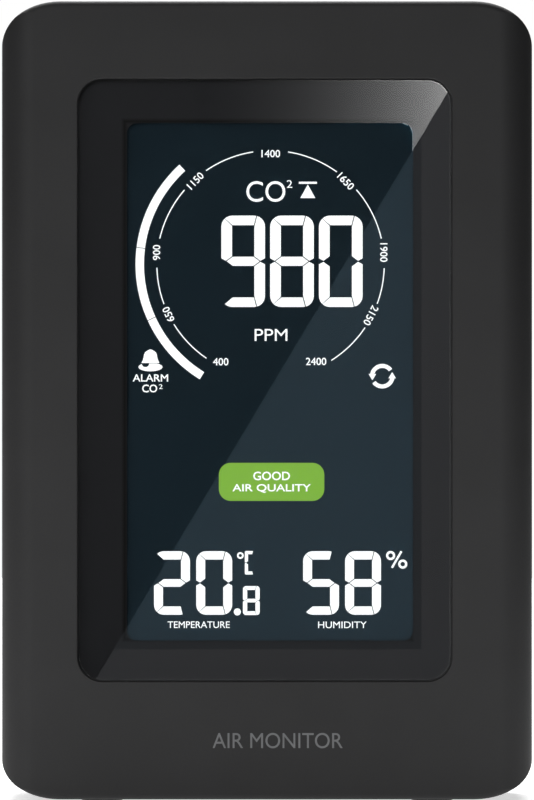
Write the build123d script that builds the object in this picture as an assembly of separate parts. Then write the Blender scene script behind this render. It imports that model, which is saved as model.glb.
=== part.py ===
from build123d import *
import os

# Carbon dioxide monitor: a slim upright desk instrument with a tall display window,
# four keys and a power slider on its back, a fold-out stand, a keyhole for a wall
# screw and a charging socket in its right side.
#
# Millimetres. +Z is up, the face looks along -Y and +X is to the viewer's right.
# The model is drawn with Z = 0 at the underside of the housing, and each piece is
# lifted by foot_proud as it is written, so that the feet stand on Z = 0.
# A depth is measured from the front face backwards, along +Y.

# Housing
body_width = 90.0
body_height = 135.0
body_depth = 28.0
wall = 2.2
corner_wide = 10.0  # half width of the elliptical corners of the face
corner_top = 7.8  # half height of the upper two
corner_low = 6.8  # half height of the lower two
roll_front = 5.5  # rounding of the long front edges, seen from above
roll_rear = 7.0
edge_front = 1.0
edge_rear = 1.4
parting = 17.0  # depth of the joint between the two housings
seam_wide = 0.4
seam_deep = 0.5
tongue_long = 1.5
tongue_thick = 0.9
tongue_gap = 0.15
foot_proud = 0.3
round_margin = 0.01  # keeps a round end just short of a half circle

# Window and display stack
window_wide = 63.1
window_tall = 101.7
window_radius = 4.1
window_side = -0.38  # the window sits a little left of the middle
window_drop = 13.2  # top of the housing to the top of the window
window_gap = 0.1
display_drop = 0.1  # the display sits a little below the window's middle
window_sunk = 0.15
window_chamfer = 0.15
lens_thick = 1.5
mask_thick = 0.1
mask_gap = 0.3
tape_thick = 0.15
ledge_side = 2.3
ledge_end = 2.4
frame_thick = 1.5  # raised frame behind the ledge
frame_rim = 2.5  # frame beyond the window, all round
view_radius = 1.7
ink_left = 0.8  # how far the ink laps over the view at its left
ink_top = 0.44  # and at its top
view_side = 0.48  # the clear view sits right of the window's middle
glass_side_gap = 1.25
glass_gap = 0.2
glass_thick = 1.1
glass_step = 2.5  # bare edge of the front glass that carries the contacts
seal_side = 3.4  # edge of the glass to the clear view
seal_end = 4.25
polariser_margin = 1.4
polariser_thick = 0.2
glass_sunk = 0.8  # front of the front glass behind the back of the mask's tape
guide_thick = 2.5
film_thick = 0.2
guide_gap = 0.2
holder_wall = 2.0
zebra_thick = 1.8
zebra_side_gap = 3.0
led_wide = 3.0
led_tall = 1.4
led_thick = 1.6
led_count = 6

# Boards
board_thick = 1.6
board_side_gap = 7.2  # board edge to the inside of the side walls
board_low = 8.0
board_radius = 1.5
board_high_gap = 12.0  # top of the housing to the top of the board
holder_back = 1.1
standoff_radius = 2.2
standoff_side = 12.0  # from the side of the housing
standoff_low = 23.4
standoff_high = 23.6  # from the top of the housing
small_board_thick = 1.2

# Parts soldered to the back of the main board: across, height, wide, tall, thick
controller_place = (22.0, 60.4, 10.0, 10.0, 1.4)
inductor_place = (22.0, 50.4, 5.0, 5.0, 3.0)
diode_place = (30.0, 50.4, 3.2, 1.6, 1.0)
crystal_place = (31.5, 60.4, 3.2, 1.5, 0.8)
regulator_place = (13.8, 50.4, 6.5, 3.5, 1.8)
charger_place = (20.0, 24.4, 6.5, 3.5, 1.8)
shunt_place = (28.0, 24.4, 4.0, 2.4, 2.0)
capacitor_size = (1.6, 0.8, 0.8)
capacitor_first = 14.0
capacitor_height = 69.4
capacitor_pitch = 2.6
capacitor_count = 6
pin_mark_radius = 0.6
pin_mark_deep = 0.2
buzzer_side = 24.0
buzzer_height = 38.4
buzzer_radius = 6.0
buzzer_thick = 5.5
buzzer_hole = 0.9
climate_side = 31.0
climate_drop = 18.0  # top of the housing to the middle of the climate sensor
climate_size = 3.0
climate_thick = 1.1
climate_hole = 0.6

# Screws
screw_radius = 1.0
pilot_gap = 0.05
shank_gap = 0.2
head_radius = 1.9
head_thick = 1.4
head_gap = 0.25
drive_long = 2.3
drive_wide = 0.5
drive_deep = 0.7
pilot_spare = 1.0  # empty hole beyond a screw's end
boss_radius = 3.0
boss_side = 6.0  # from the side of the housing
boss_low = 11.4
boss_high = 25.2  # from the top of the housing
boss_sink = 5.4
housing_pilot_long = 12.0
board_pilot_long = 5.0

# Carbon dioxide sensor
sensor_side = 20.0
sensor_drop = 43.6  # top of the housing to the middle of the sensor
sensor_wide = 32.0
sensor_tall = 23.0
sensor_lift = 2.5
chamber_wide = 26.0
chamber_tall = 18.0
chamber_deep = 6.5
membrane_wide = 20.0
membrane_tall = 9.0
membrane_thick = 0.2
membrane_rim = 2.0
mouth_deep = 1.5
sensor_radius = 1.2
pin_edge_gap = 1.5
pin_thick = 0.6
pin_pitch = 2.54
pin_count = 5

# Battery
battery_wide = 40.0
battery_tall = 30.0
battery_deep = 5.0
battery_side = -11.0
battery_low = 33.4
pad_thick = 0.3
pad_rim = 1.0
plug_wide = 6.0
plug_tall = 4.5
plug_deep = 4.0
lead_radius = 0.55
lead_long = 6.0
lead_pitch = 2.0

# Keys on the back
panel_wide = 74.0
panel_tall = 12.4
panel_drop = 14.0  # top of the housing to the middle of the panel
panel_deep = 1.2
panel_radius = 3.0
key_wide = 8.6
key_tall = 5.6
key_pitch = 13.0
key_first = -27.0
key_corner = 2.6
key_edge = 0.4
key_gap = 0.2
key_sunk = 0.4  # key top below the back of the housing
key_flange = 1.2
key_flange_thick = 0.9
key_slack = 0.1
key_travel = 0.5
switch_size = 6.0
switch_deep = 3.5
plunger_radius = 1.0
plunger_gap = 0.1
plunger_show = 1.0
plunger_sunk = 1.0
well_spare = 0.3  # room under a plunger or the slider's stem at the end of its travel
post_side = 34.6
post_radius = 2.0
stud_radius = 0.8
slider_side = 27.0
slider_wide = 3.0
slider_tall = 3.0
slider_travel = 2.0
slider_rim = 1.0
slider_body_wide = 8.6
slider_body_tall = 4.4
slider_stem = 1.5
slider_sunk = 0.2
slider_groove = 0.3
slider_groove_pitch = 0.8
ribbon_wide = 12.0
ribbon_thick = 0.3
ribbon_side = -5.0
ribbon_drop = 3.0
ribbon_plug_rim = 1.0
ribbon_plug_tall = 2.4
ribbon_plug_thick = 2.0

# Openings in the back and the top
vent_long = 20.0
vent_wide = 1.6
vent_pitch = 3.4
vent_count = 8
vent_side = 21.0
vent_drop = 39.6  # top of the housing to the middle of the group
screen_rim = 2.0
screen_thick = 0.3
top_vent_wide = 1.4
top_vent_long = 4.4
top_vent_pitch = 4.0
top_vent_count = 15
top_vent_depth = 22.2
keyhole_drop = 32.6  # top of the housing to the middle of the round entry
keyhole_entry = 4.0
keyhole_slot = 2.1
keyhole_rise = 7.0
pocket_gap = 1.0
pocket_deep = 3.8
pocket_wall = 1.0

# Charging socket
usb_height = 21.4
usb_wide = 8.94
usb_thick = 3.26
usb_long = 7.3
usb_wall = 0.25
usb_base = 1.0  # solid back of the shell
usb_gap = 0.22
usb_sunk = 0.2
usb_recess = 1.0
usb_recess_wide = 12.5
usb_recess_thick = 7.0
usb_tongue_wide = 6.7
usb_tongue_thick = 0.7
usb_tongue_long = 5.2
usb_tab_gap = 1.0

# Stand
stand_wide = 36.0
stand_thick = 2.4
stand_low = 2.6
hinge_height = 66.4
hinge_cover = 0.1  # hinge barrel to the back of the housing
barrel_radius = 1.7
stand_gap = 0.3
recess_floor = 1.6
lug_wide = 6.0
lug_tall = 8.0
lug_deep = 2.6
hinge_pin_radius = 1.0
hinge_pin_gap = 0.05
hinge_pin_hold = 4.0
pin_seat_gap = 0.02
stand_pad_thick = 0.8
stand_pad_rim = 0.2
stand_corner = 3.0
notch_wide = 7.0
notch_tall = 14.0
notch_deep = 2.6
notch_radius = 3.0
notch_height = 30.0
grip_start = 6.0
grip_count = 5
grip_pitch = 2.0
grip_deep = 0.4

# Feet
foot_radius = 3.5
foot_thick = 1.2
foot_side = 28.0
foot_spread = 8.5

# Depths, worked out from the front face backwards
lens_front = window_sunk
mask_front = lens_front + lens_thick
tape_front = mask_front + mask_thick
ledge_front = tape_front + tape_thick
ledge_back = ledge_front + frame_thick
front_glass_front = tape_front + glass_sunk
rear_glass_front = front_glass_front + glass_thick
film_front = rear_glass_front + glass_thick + polariser_thick
guide_front = film_front + film_thick
reflector_front = guide_front + guide_thick
holder_floor = reflector_front + film_thick
board_front = holder_floor + holder_back
board_back = board_front + board_thick
rear_inner = body_depth - wall
panel_floor = body_depth - panel_deep
panel_inner = panel_floor - wall
key_top = body_depth - key_sunk
flange_back = panel_inner - key_slack
flange_front = flange_back - key_flange_thick
switch_back = flange_front - plunger_show
key_board_back = switch_back - switch_deep
key_board_front = key_board_back - small_board_thick
sensor_front = board_back + sensor_lift
chamber_front = sensor_front + small_board_thick
membrane_front = chamber_front + chamber_deep
hinge_depth = body_depth - hinge_cover - barrel_radius
recess_depth = hinge_depth - barrel_radius - stand_gap

# Places across and up the face
window_middle = body_height - window_drop - window_tall / 2
display_middle = window_middle - display_drop
view_middle = window_side + view_side
opening_wide = window_wide - 2 * ledge_side
opening_tall = window_tall - 2 * ledge_end
glass_wide = opening_wide - 2 * glass_side_gap
glass_tall = opening_tall - 2 * glass_gap
view_wide = glass_wide - 2 * seal_side
view_tall = glass_tall - 2 * seal_end
zebra_wide = glass_wide - 2 * zebra_side_gap
board_wide = body_width - 2 * (wall + board_side_gap)
board_high = body_height - board_high_gap
panel_middle = body_height - panel_drop
sensor_middle = body_height - sensor_drop
vent_middle = body_height - vent_drop
keyhole_middle = body_height - keyhole_drop
vent_tall = (vent_count - 1) * vent_pitch + vent_wide
guide_wide = view_wide + 2 * polariser_margin
guide_tall = view_tall + 2 * polariser_margin
boss_places = [
    (side * (body_width / 2 - boss_side), height)
    for side in (-1, 1)
    for height in (boss_low, body_height - boss_high)
]
standoff_places = [
    (side * (body_width / 2 - standoff_side), height)
    for side in (-1, 1)
    for height in (standoff_low, body_height - standoff_high)
]
key_names = ("mode", "up", "down", "set")
key_places = {name: key_first + order * key_pitch for order, name in enumerate(key_names)}


def face_plane(depth):
    # A plane parallel to the face, whose own axes are the object's X and Z.
    return Plane(origin=(0, depth - body_depth / 2, 0), x_dir=(1, 0, 0), z_dir=(0, -1, 0))


def slab(outline, front, back):
    return extrude(face_plane(back) * outline, amount=back - front)


def block(across, height, wide, tall, front, back, radius=0):
    outline = RectangleRounded(wide, tall, radius) if radius else Rectangle(wide, tall)
    return slab(Pos(across, height) * outline, front, back)


def rod(across, height, radius, front, back):
    return slab(Pos(across, height) * Circle(radius), front, back)


def cross_rod(left, right, height, depth, radius):
    # A round bar along X.
    middle = Pos((left + right) / 2, depth - body_depth / 2, height)
    return middle * Rot(0, 90, 0) * Cylinder(radius, right - left)


def face_outline(inset):
    # The face seen from the front, with elliptical corners.
    across = body_width / 2 - corner_wide
    upper = body_height - corner_top
    corners = (
        (across, upper, corner_top, 0),
        (-across, upper, corner_top, 90),
        (-across, corner_low, corner_low, 180),
        (across, corner_low, corner_low, 270),
    )
    arcs = [
        EllipticalCenterArc((x, z), corner_wide - inset, rise - inset, turn, arc_size=90)
        for x, z, rise, turn in corners
    ]
    edges = []
    for arc, after in zip(arcs, arcs[1:] + arcs[:1]):
        edges += [arc, Line(arc @ 1, after @ 0)]
    return make_face(edges)


def plan_outline(inset):
    # The housing seen from above, with rounded long edges.
    plan = Rectangle(body_width - 2 * inset, body_depth - 2 * inset)
    plan = fillet(plan.vertices().group_by(Axis.Y)[0], roll_front - inset)
    return fillet(plan.vertices().group_by(Axis.Y)[-1], roll_rear - inset)


def plan_column(inset):
    return extrude(Pos(0, 0, inset) * plan_outline(inset), amount=body_height - 2 * inset)


def body_form(inset):
    return slab(face_outline(inset), inset, body_depth - inset) & plan_column(inset)


def outer_form():
    body = slab(face_outline(0), 0, body_depth)
    body = fillet(body.edges().group_by(Axis.Y)[0], edge_front)
    body = fillet(body.edges().group_by(Axis.Y)[-1], edge_rear)
    return body & plan_column(0)


def depth_range(front, back):
    # Everything between two depths.
    return block(0, body_height / 2, 2 * body_width, 2 * body_height, front, back)


outer = outer_form()
cavity = body_form(wall)


def window_outline(gap):
    outline = RectangleRounded(window_wide + 2 * gap, window_tall + 2 * gap, window_radius + gap)
    return Pos(window_side, window_middle) * outline


def foot_rods(top, bottom):
    rods = [
        Pos(x, y, (top + bottom) / 2) * Cylinder(foot_radius, top - bottom)
        for x in (-foot_side, foot_side)
        for y in (-foot_spread, foot_spread)
    ]
    return rods


def front_housing():
    shell = outer & depth_range(0, parting)
    shell -= cavity
    shell += slab(window_outline(frame_rim), wall, ledge_back)
    for x, z in standoff_places:
        shell += rod(x, z, standoff_radius, wall, board_front)
    for x, z in boss_places:
        shell += rod(x, z, boss_radius, wall, parting) & outer
    shell -= slab(window_outline(window_gap), 0, ledge_front)
    shell -= window_bevel()
    shell -= block(window_side, display_middle, opening_wide, opening_tall, 0, ledge_back)
    for x, z in standoff_places:
        shell -= rod(x, z, screw_radius + pilot_gap, board_front - board_pilot_long, board_front)
    for x, z in boss_places:
        shell -= rod(x, z, screw_radius + pilot_gap, parting - housing_pilot_long, parting)
    # rebate for the rear housing's tongue, and the fine shadow line of the seam
    rebate = body_form(wall - tongue_thick - tongue_gap)
    shell -= rebate & depth_range(parting - tongue_long - tongue_gap, parting)
    shell -= (outer - body_form(seam_deep)) & depth_range(parting - seam_wide, parting)
    for foot in foot_rods(foot_thick - foot_proud, -foot_proud):
        shell -= foot
    shell -= usb_opening()
    return shell


def window_bevel():
    # The small bevel where the window meets the face.
    wide = face_plane(0) * window_outline(window_gap + window_chamfer)
    narrow = face_plane(window_chamfer) * window_outline(window_gap)
    return loft([wide, narrow])


def side_bar(end, long, wide, thick):
    # A bar with rounded edges that runs inwards along X from its end, in the socket's line.
    depth = board_back + usb_thick / 2
    plane = Plane(origin=(end, depth - body_depth / 2, usb_height), x_dir=(0, 0, 1), z_dir=(1, 0, 0))
    return extrude(plane * RectangleRounded(wide, thick, thick / 2 - round_margin), amount=-long)


def usb_opening():
    side = body_width / 2
    hole = side_bar(side, 2 * wall, usb_wide + 2 * usb_gap, usb_thick + 2 * usb_gap)
    return hole + side_bar(side, usb_recess, usb_recess_wide, usb_recess_thick)


def rear_housing():
    shell = outer & depth_range(parting, body_depth)
    shell -= cavity
    tongue = body_form(wall - tongue_thick) - cavity
    shell += tongue & depth_range(parting - tongue_long, parting)
    shell += stand_pan() & outer
    shell += key_pad() & outer
    shell += keyhole_pocket()
    for x, z in boss_places:
        shell += rod(x, z, boss_radius, parting, rear_inner) & outer
        shell -= rod(x, z, head_radius + head_gap, body_depth - boss_sink, body_depth)
        shell -= rod(x, z, screw_radius + shank_gap, parting, body_depth)
    shell -= stand_recess()
    shell -= key_openings()
    shell -= keyhole()
    shell -= vents()
    for foot in foot_rods(foot_thick - foot_proud, -foot_proud):
        shell -= foot
    return shell


def stand_pan():
    # The walls that close the stand's recess towards the inside.
    front = recess_depth - recess_floor
    half = stand_wide / 2 + stand_gap
    top = hinge_height + barrel_radius + stand_gap + wall
    pan = block(0, top / 2, 2 * (half + wall), top, front, rear_inner)
    lug_front = rear_inner - lug_deep
    for side in (-1, 1):
        pan += block(side * (half + lug_wide / 2), hinge_height, lug_wide, lug_tall, lug_front, rear_inner)
    notch_front = body_depth - notch_deep - recess_floor
    return pan + notch_block(2 * wall, notch_front, rear_inner)


def notch_block(extra, front, back):
    # The finger notch beside the leg, with extra added to its width and height.
    middle = stand_wide / 2 + stand_gap + notch_wide / 2
    return block(middle, notch_height, notch_wide + extra, notch_tall + extra, front, back, notch_radius)


def stand_recess():
    half = stand_wide / 2 + stand_gap
    top = hinge_height + barrel_radius + stand_gap
    recess = block(0, top / 2 - wall, 2 * half, top + 2 * wall, recess_depth, body_depth)
    reach = half + hinge_pin_hold
    recess += cross_rod(-reach, reach, hinge_height, hinge_depth, hinge_pin_radius + pin_seat_gap)
    recess += notch_block(0, body_depth - notch_deep, body_depth)
    joining = block(half, notch_height, notch_wide, notch_tall, body_depth - notch_deep, body_depth)
    return recess + joining


def key_pad():
    wide = panel_wide + 2 * panel_deep
    tall = panel_tall + 2 * panel_deep
    pad = block(0, panel_middle, wide, tall, panel_inner, rear_inner)
    for side in (-post_side, post_side):
        pad += rod(side, panel_middle, post_radius, key_board_back, panel_inner)
        pad += rod(side, panel_middle, stud_radius, key_board_front - stud_radius, key_board_back)
    return pad


def key_openings():
    cut = block(0, panel_middle, panel_wide, panel_tall, panel_floor, body_depth, panel_radius)
    for x in key_places.values():
        wide = key_wide + 2 * key_gap
        tall = key_tall + 2 * key_gap
        cut += block(x, panel_middle, wide, tall, panel_inner, body_depth, key_corner + key_gap)
    wide = slider_wide + slider_travel + 2 * key_gap
    tall = slider_tall + 2 * key_gap
    middle = slider_side - slider_travel / 2
    return cut + block(middle, panel_middle, wide, tall, panel_inner, body_depth)


def keyhole():
    entry = Pos(0, keyhole_middle) * Circle(keyhole_entry)
    slot = Pos(0, keyhole_middle + keyhole_rise / 2) * Rectangle(2 * keyhole_slot, keyhole_rise)
    end = Pos(0, keyhole_middle + keyhole_rise) * Circle(keyhole_slot)
    return slab(entry + slot + end, rear_inner, body_depth)


def keyhole_pocket():
    # A closed box behind the keyhole, so that a wall screw never meets the boards.
    half = keyhole_entry + pocket_gap
    low = keyhole_middle - half
    high = keyhole_middle + keyhole_rise + keyhole_entry
    middle = (low + high) / 2
    front = rear_inner - pocket_deep
    wide = 2 * (half + pocket_wall)
    tall = high - low + 2 * pocket_wall
    box = block(0, middle, wide, tall, front - pocket_wall, rear_inner)
    return box - block(0, middle, 2 * half, high - low, front, rear_inner)


def vents():
    slot = RectangleRounded(vent_long, vent_wide, vent_wide / 2 - round_margin)
    low = vent_middle - (vent_tall - vent_wide) / 2
    slots = [
        Pos(side * vent_side, low + row * vent_pitch) * slot
        for side in (-1, 1)
        for row in range(vent_count)
    ]
    cut = slab(Sketch() + slots, rear_inner, body_depth)
    left = -(top_vent_count - 1) * top_vent_pitch / 2
    for order in range(top_vent_count):
        top_slot = Box(top_vent_wide, top_vent_long, 2 * wall)
        cut += Pos(left + order * top_vent_pitch, top_vent_depth - body_depth / 2, body_height) * top_slot
    return cut


def display_window():
    lens = slab(window_outline(0), lens_front, mask_front)
    return chamfer(lens.edges().group_by(Axis.Y)[0], window_sunk)


def view_outline(margin):
    wide = view_wide - ink_left + 2 * margin
    tall = view_tall - ink_top + 2 * margin
    outline = RectangleRounded(wide, tall, view_radius + margin)
    return Pos(view_middle + ink_left / 2, display_middle - ink_top / 2) * outline


def window_mask():
    return slab(window_outline(-mask_gap) - view_outline(0), mask_front, tape_front)


def window_tape():
    hole = Pos(window_side, display_middle) * Rectangle(opening_wide, opening_tall)
    return slab(window_outline(-mask_gap) - hole, tape_front, ledge_front)


def front_polariser():
    front = front_glass_front - polariser_thick
    return block(view_middle, display_middle, guide_wide, guide_tall, front, front_glass_front)


def rear_polariser():
    back = rear_glass_front + glass_thick + polariser_thick
    return block(view_middle, display_middle, guide_wide, guide_tall, back - polariser_thick, back)


def lcd_front_glass():
    return block(view_middle, display_middle, glass_wide, glass_tall, front_glass_front, rear_glass_front)


def lcd_rear_glass():
    middle = display_middle + glass_step / 2
    back = rear_glass_front + glass_thick
    return block(view_middle, middle, glass_wide, glass_tall - glass_step, rear_glass_front, back)


def backlight_diffuser():
    return block(view_middle, display_middle, guide_wide, guide_tall, film_front, guide_front)


def backlight_guide():
    return block(view_middle, display_middle, guide_wide, guide_tall, guide_front, reflector_front)


def backlight_reflector():
    return block(view_middle, display_middle, guide_wide, guide_tall, reflector_front, holder_floor)


def led_row():
    # Side-firing lamps along the top edge of the light guide.
    height = display_middle + guide_tall / 2 + guide_gap + led_tall / 2
    pitch = guide_wide / led_count
    left = view_middle - guide_wide / 2 + pitch / 2
    return [
        block(left + order * pitch, height, led_wide, led_tall, holder_floor - led_thick, holder_floor)
        for order in range(led_count)
    ]


def zebra_middle():
    return display_middle - glass_tall / 2 + glass_step / 2


def zebra_strip():
    return block(view_middle, zebra_middle(), zebra_wide, zebra_thick, rear_glass_front, board_front)


def lcd_holder():
    wide = glass_wide + 2 * (glass_gap + holder_wall)
    tall = glass_tall + 2 * (glass_gap + holder_wall)
    holder = block(view_middle, display_middle, wide, tall, ledge_back, board_front, holder_wall)
    glass_pocket = block(
        view_middle, display_middle, glass_wide + 2 * glass_gap, glass_tall + 2 * glass_gap,
        ledge_back, film_front - polariser_thick,
    )
    light_pocket = block(
        view_middle, display_middle, guide_wide + 2 * guide_gap, guide_tall + 2 * guide_gap,
        ledge_back, holder_floor,
    )
    led_height = display_middle + (guide_tall + led_tall) / 2 + guide_gap
    led_pocket = block(
        view_middle, led_height, guide_wide, led_tall + 2 * guide_gap,
        ledge_back, holder_floor,
    )
    zebra_slot = block(
        view_middle, zebra_middle(), zebra_wide + 2 * guide_gap, zebra_thick + 2 * guide_gap,
        ledge_back, board_front,
    )
    return holder - glass_pocket - light_pocket - led_pocket - zebra_slot


def main_board():
    tall = board_high - board_low
    board = block(0, board_low + tall / 2, board_wide, tall, board_front, board_back, board_radius)
    tab_end = body_width / 2 - wall - usb_tab_gap
    tab_wide = tab_end - board_wide / 2
    tab_middle = (tab_end + board_wide / 2) / 2
    board += block(tab_middle, usb_height, tab_wide, usb_recess_wide, board_front, board_back)
    for x, z in standoff_places:
        board -= rod(x, z, screw_radius + shank_gap, board_front, board_back)
    return board


def screw(across, height, seat, long):
    # A pan head above its seat and a plain shank reaching forwards from it.
    body = rod(across, height, screw_radius, seat - long, seat)
    body += rod(across, height, head_radius, seat, seat + head_thick)
    top = seat + head_thick
    for wide, tall in ((drive_long, drive_wide), (drive_wide, drive_long)):
        body -= block(across, height, wide, tall, top - drive_deep, top)
    return body


def housing_screws():
    seat = body_depth - boss_sink
    long = seat - parting + housing_pilot_long - pilot_spare
    return [screw(x, z, seat, long) for x, z in boss_places]


def board_screws():
    long = board_thick + board_pilot_long - pilot_spare
    return [screw(x, z, board_back, long) for x, z in standoff_places]


def chip(across, height, wide, tall, thick):
    return block(across, height, wide, tall, board_back, board_back + thick)


def microcontroller():
    across, height, wide, tall, thick = controller_place
    body = chip(*controller_place)
    top = board_back + thick
    mark_side = across - wide / 2 + 2 * pin_mark_radius
    mark_height = height + tall / 2 - 2 * pin_mark_radius
    return body - rod(mark_side, mark_height, pin_mark_radius, top - pin_mark_deep, top)


def board_parts():
    # Power and timing parts soldered around the controller.
    places = [inductor_place, diode_place, crystal_place, regulator_place, charger_place, shunt_place]
    for order in range(capacitor_count):
        places.append((capacitor_first + order * capacitor_pitch, capacitor_height, *capacitor_size))
    return [chip(*place) for place in places]


def buzzer():
    top = board_back + buzzer_thick
    can = rod(buzzer_side, buzzer_height, buzzer_radius, board_back, top)
    return can - rod(buzzer_side, buzzer_height, buzzer_hole, top - 2 * buzzer_hole, top)


def climate_sensor():
    height = body_height - climate_drop
    body = chip(climate_side, height, climate_size, climate_size, climate_thick)
    top = board_back + climate_thick
    return body - rod(climate_side, height, climate_hole, top - climate_hole, top)


def sensor_slab(wide, tall, front, back, radius=0):
    return block(sensor_side, sensor_middle, wide, tall, front, back, radius)


def sensor_board():
    return sensor_slab(sensor_wide, sensor_tall, sensor_front, chamber_front, sensor_radius)


def sensor_chamber():
    box = sensor_slab(chamber_wide, chamber_tall, chamber_front, membrane_front, sensor_radius)
    mouth_wide = membrane_wide - 2 * membrane_rim
    mouth_tall = membrane_tall - 2 * membrane_rim
    return box - sensor_slab(mouth_wide, mouth_tall, membrane_front - mouth_deep, membrane_front)


def sensor_membrane():
    back = membrane_front + membrane_thick
    return sensor_slab(membrane_wide, membrane_tall, membrane_front, back, sensor_radius)


def sensor_pins():
    # Two rows of square pins between the sensor's board and the main board.
    rise = sensor_tall / 2 - pin_edge_gap
    left = sensor_side - (pin_count - 1) * pin_pitch / 2
    pins = []
    for height in (sensor_middle - rise, sensor_middle + rise):
        for order in range(pin_count):
            across = left + order * pin_pitch
            pins.append(block(across, height, pin_thick, pin_thick, board_back, sensor_front))
    return pins


def battery_pad():
    wide = battery_wide - 2 * pad_rim
    tall = battery_tall - 2 * pad_rim
    middle = battery_low + battery_tall / 2
    return block(battery_side, middle, wide, tall, board_back, board_back + pad_thick)


def battery_pack():
    front = board_back + pad_thick
    middle = battery_low + battery_tall / 2
    pack = block(battery_side, middle, battery_wide, battery_tall, front, front + battery_deep)
    return fillet(pack.edges().filter_by(Axis.Z), battery_deep / 2 - round_margin)


def battery_lead():
    low = battery_low + battery_tall
    depth = board_back + pad_thick + battery_deep / 2
    return [
        Pos(battery_side + side * lead_pitch / 2, depth - body_depth / 2, low + lead_long / 2)
        * Cylinder(lead_radius, lead_long)
        for side in (-1, 1)
    ]


def battery_connector():
    height = battery_low + battery_tall + lead_long + plug_tall / 2
    return chip(battery_side, height, plug_wide, plug_tall, plug_deep)


def usb_shell():
    mouth = body_width / 2 - usb_recess - usb_sunk
    shell = side_bar(mouth, usb_long, usb_wide, usb_thick)
    return shell - side_bar(mouth, usb_long - usb_base, usb_wide - 2 * usb_wall, usb_thick - 2 * usb_wall)


def usb_tongue():
    base = body_width / 2 - usb_recess - usb_sunk - usb_long + usb_base
    depth = board_back + usb_thick / 2 - body_depth / 2
    tongue = Box(usb_tongue_long, usb_tongue_thick, usb_tongue_wide)
    return Pos(base + usb_tongue_long / 2, depth, usb_height) * tongue


def key_board():
    wide = 2 * (post_side + post_radius)
    board = block(0, panel_middle, wide, panel_tall, key_board_front, key_board_back)
    for side in (-post_side, post_side):
        board -= rod(side, panel_middle, stud_radius + pilot_gap, key_board_front, key_board_back)
    return board


def key_switches():
    bodies = []
    for x in key_places.values():
        switch = block(x, panel_middle, switch_size, switch_size, key_board_back, switch_back)
        well = plunger_radius + plunger_gap
        floor = switch_back - plunger_sunk - key_travel - well_spare
        bodies.append(switch - rod(x, panel_middle, well, floor, switch_back))
    return bodies


def key_plunger(across):
    return rod(across, panel_middle, plunger_radius, switch_back - plunger_sunk, flange_front)


def key_cap(across):
    cap = block(across, panel_middle, key_wide, key_tall, flange_back, key_top, key_corner)
    cap = fillet(cap.edges().group_by(Axis.Y)[-1], key_edge)
    flange_wide = key_wide + 2 * key_flange
    flange_tall = key_tall + 2 * key_flange
    return cap + block(across, panel_middle, flange_wide, flange_tall, flange_front, flange_back)


def power_switch():
    middle = slider_side - slider_travel / 2
    body = block(middle, panel_middle, slider_body_wide, slider_body_tall, key_board_back, switch_back)
    wide = slider_stem + slider_travel + 2 * key_gap
    tall = slider_stem + 2 * key_gap
    floor = switch_back - plunger_sunk - well_spare
    return body - block(middle, panel_middle, wide, tall, floor, switch_back)


def power_slider():
    top = key_top - slider_sunk
    knob = block(slider_side, panel_middle, slider_wide, slider_tall, flange_back, top)
    for order in (-1, 0, 1):
        across = slider_side + order * slider_groove_pitch
        knob -= block(across, panel_middle, slider_groove, slider_tall, top - slider_groove, top)
    wide = slider_wide + 2 * (slider_travel + slider_rim)
    tall = slider_tall + 2 * slider_rim
    knob += block(slider_side, panel_middle, wide, tall, flange_front, flange_back)
    stem_front = switch_back - plunger_sunk
    return knob + block(slider_side, panel_middle, slider_stem, slider_stem, stem_front, flange_front)


def ribbon_connector():
    height = panel_middle - ribbon_drop
    return chip(ribbon_side, height, ribbon_wide + 2 * ribbon_plug_rim, ribbon_plug_tall, ribbon_plug_thick)


def key_ribbon():
    front = board_back + ribbon_plug_thick
    height = panel_middle - ribbon_drop
    return block(ribbon_side, height, ribbon_wide, ribbon_thick, front, key_board_front)


def dust_screens():
    return [
        block(
            side * vent_side, vent_middle, vent_long + 2 * screen_rim, vent_tall + 2 * screen_rim,
            rear_inner - screen_thick, rear_inner,
        )
        for side in (-1, 1)
    ]


def fold_stand():
    half = stand_wide / 2
    front = hinge_depth - stand_thick / 2
    back = hinge_depth + stand_thick / 2
    leg = block(0, (stand_low + hinge_height) / 2, stand_wide, hinge_height - stand_low, front, back)
    leg = fillet(leg.edges().filter_by(Axis.Y).group_by(Axis.Z)[0], stand_corner)
    for order in range(grip_count):
        height = stand_low + grip_start + order * grip_pitch
        leg -= block(0, height, stand_wide / 2, grip_pitch / 2, back - grip_deep, back)
    leg += cross_rod(-half, half, hinge_height, hinge_depth, barrel_radius)
    for side in (-1, 1):
        outside = side * half
        inside = side * (half - hinge_pin_hold)
        left, right = min(inside, outside), max(inside, outside)
        leg -= cross_rod(left, right, hinge_height, hinge_depth, hinge_pin_radius + hinge_pin_gap)
    return leg


def stand_pins():
    pins = []
    for side in (-1, 1):
        inside = side * (stand_wide / 2 - hinge_pin_hold + hinge_pin_gap)
        outside = side * (stand_wide / 2 + stand_gap + hinge_pin_hold)
        left, right = min(inside, outside), max(inside, outside)
        pins.append(cross_rod(left, right, hinge_height, hinge_depth, hinge_pin_radius))
    return pins


def stand_pad():
    wide = stand_wide - 2 * stand_corner
    front = hinge_depth - stand_thick / 2 + stand_pad_rim
    back = hinge_depth + stand_thick / 2 - stand_pad_rim
    return block(0, stand_low - stand_pad_thick / 2, wide, stand_pad_thick, front, back)


def rubber_feet():
    return foot_rods(foot_thick - foot_proud, -foot_proud)


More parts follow.
